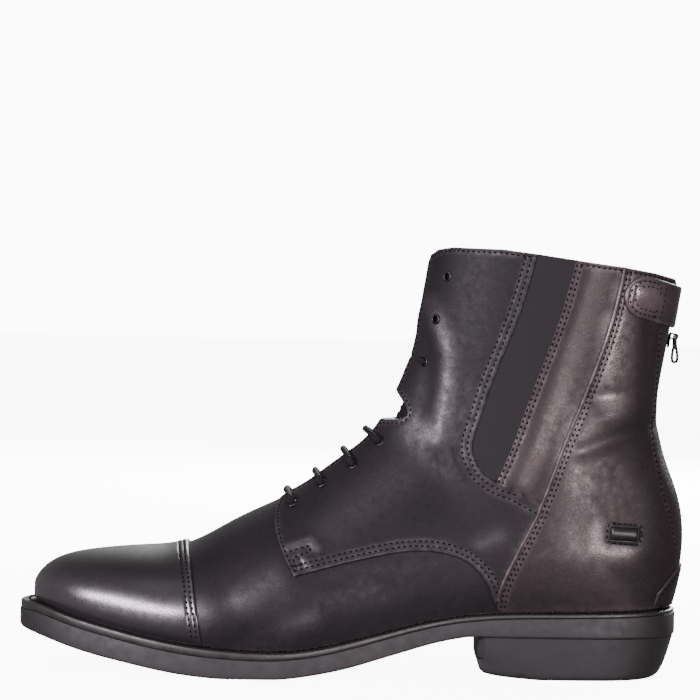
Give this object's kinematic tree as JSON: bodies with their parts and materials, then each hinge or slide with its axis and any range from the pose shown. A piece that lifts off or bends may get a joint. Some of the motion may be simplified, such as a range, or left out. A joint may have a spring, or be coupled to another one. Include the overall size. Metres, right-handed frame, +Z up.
{
  "type": "lace-up jodhpur boot",
  "caption": "Short black leather lace-up riding boot for the left foot: toe cap, elastic side gores, laced front, back zip, spur keepers and a welted sole with a block heel.",
  "frame": {"origin": "bottom centre of the boot's bounding box, on the floor", "axes": "+X from toe to heel, -Y towards the outer (left) side that the picture shows, +Z up"},
  "size_m": [0.2984, 0.1058, 0.1904],
  "materials": {
    "leather": "semi-gloss black leather",
    "lining": "soft dark leather",
    "gore": "ribbed elastic",
    "rubber": "satin black rubber",
    "welt": "satin black",
    "lace": "waxed round lace",
    "metal": "black lacquered",
    "insole": "matte",
    "zip": "woven tape with a nylon coil"
  },
  "bodies": {
    "boot": {"outsole": "rubber", "heel": "rubber", "welt": "welt", "insole": "insole", "upper": "leather", "tongue": "lining", "toe_cap": "leather", "quarter_left": "leather", "quarter_right": "leather", "gore_left": "gore", "gore_right": "gore", "side_strip_left": "leather", "side_strip_right": "leather", "back_panel_left": "leather", "back_panel_right": "leather", "spur_keeper_left": "leather", "spur_keeper_right": "leather", "heel_patch": "leather", "zip": "zip", "zip_slider": "metal", "collar_tab": "leather", "eyelet_left_1": "metal", "eyelet_left_2": "metal", "eyelet_left_3": "metal", "eyelet_left_4": "metal", "eyelet_left_5": "metal", "eyelet_left_6": "metal", "eyelet_left_7": "metal", "eyelet_right_1": "metal", "eyelet_right_2": "metal", "eyelet_right_3": "metal", "eyelet_right_4": "metal", "eyelet_right_5": "metal", "eyelet_right_6": "metal", "eyelet_right_7": "metal", "lace_bar_1": "lace", "lace_bar_2": "lace", "lace_bar_3": "lace", "lace_bar_4": "lace"},
    "zip_pull": {"zip_pull_tab": "metal"}
  },
  "joints": [
    {"name": "zip_pull_hinge", "type": "hinge", "parent": "boot", "child": "zip_pull", "pos_m": [0.14403, 0, 0.1526], "axis": [0, -1, 0], "range_deg": [-4, 120]}
  ]
}
